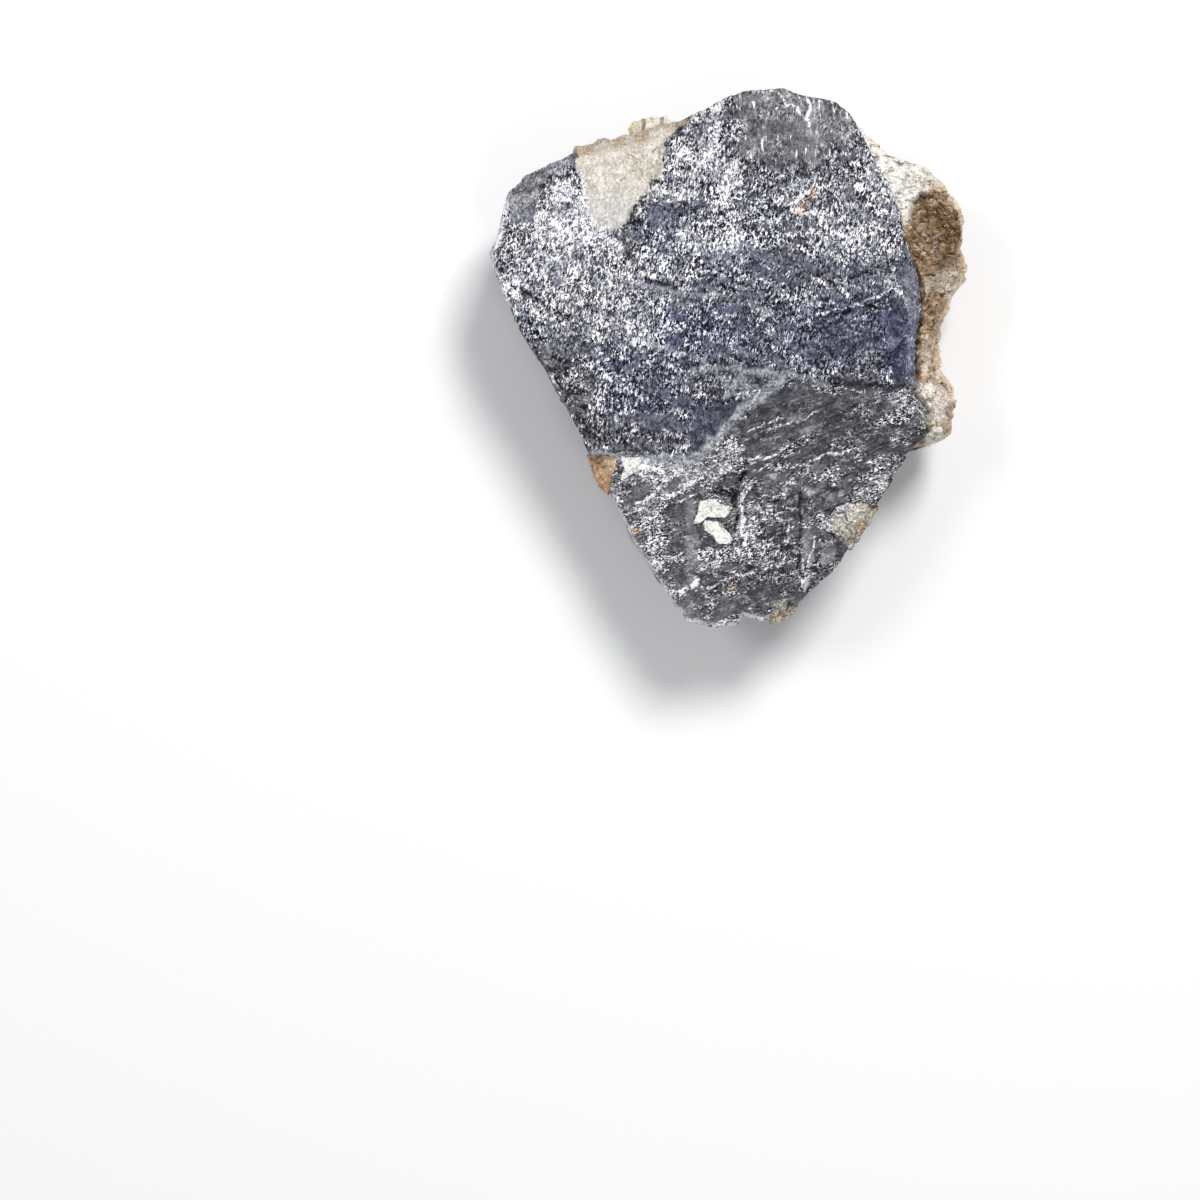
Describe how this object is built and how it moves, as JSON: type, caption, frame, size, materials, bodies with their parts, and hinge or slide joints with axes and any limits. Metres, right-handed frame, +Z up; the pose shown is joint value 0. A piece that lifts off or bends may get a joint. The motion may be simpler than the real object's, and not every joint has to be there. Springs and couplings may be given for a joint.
{
  "type": "rough corundum crystal on matrix",
  "caption": "Thick tabular crystal of rough blue-grey corundum with its feldspar and mica matrix on one edge, lying flat on its back.",
  "frame": {"origin": "under the middle of the stone's box, on the surface that the stone rests on", "axes": "+Z up, out of the crystal's broad face; +Y along the crystal from its narrow toe to its wide top edge; +X towards the edge that carries the feldspar rind"},
  "size_m": [0.0486, 0.0544, 0.0157],
  "materials": {
    "corundum": "rough broken crystal face, silvery frosted and glittering above, smoother and bluer in the middle",
    "feldspar_matrix": "granular feldspar, white to tan",
    "mica": "brown flakes with a dull glint",
    "feldspar_patch": "cleaved feldspar, cream and greyish white",
    "feldspar_knob": "cleaved cream feldspar",
    "stained_feldspar": "iron-stained feldspar",
    "white_feldspar": "white feldspar with small cleavage faces",
    "crust": "thin crust of tan and white grains"
  },
  "bodies": {
    "root": {"corundum_crystal": "corundum", "matrix_rind": "feldspar_matrix", "mica_pocket": "mica", "feldspar_patch": "feldspar_patch", "feldspar_knob": "feldspar_knob", "stained_grain": "stained_feldspar", "pale_grain": "white_feldspar", "inclusion_upper": "white_feldspar", "inclusion_lower": "white_feldspar", "edge_crust": "crust", "toe_crust": "crust"}
  },
  "joints": []
}
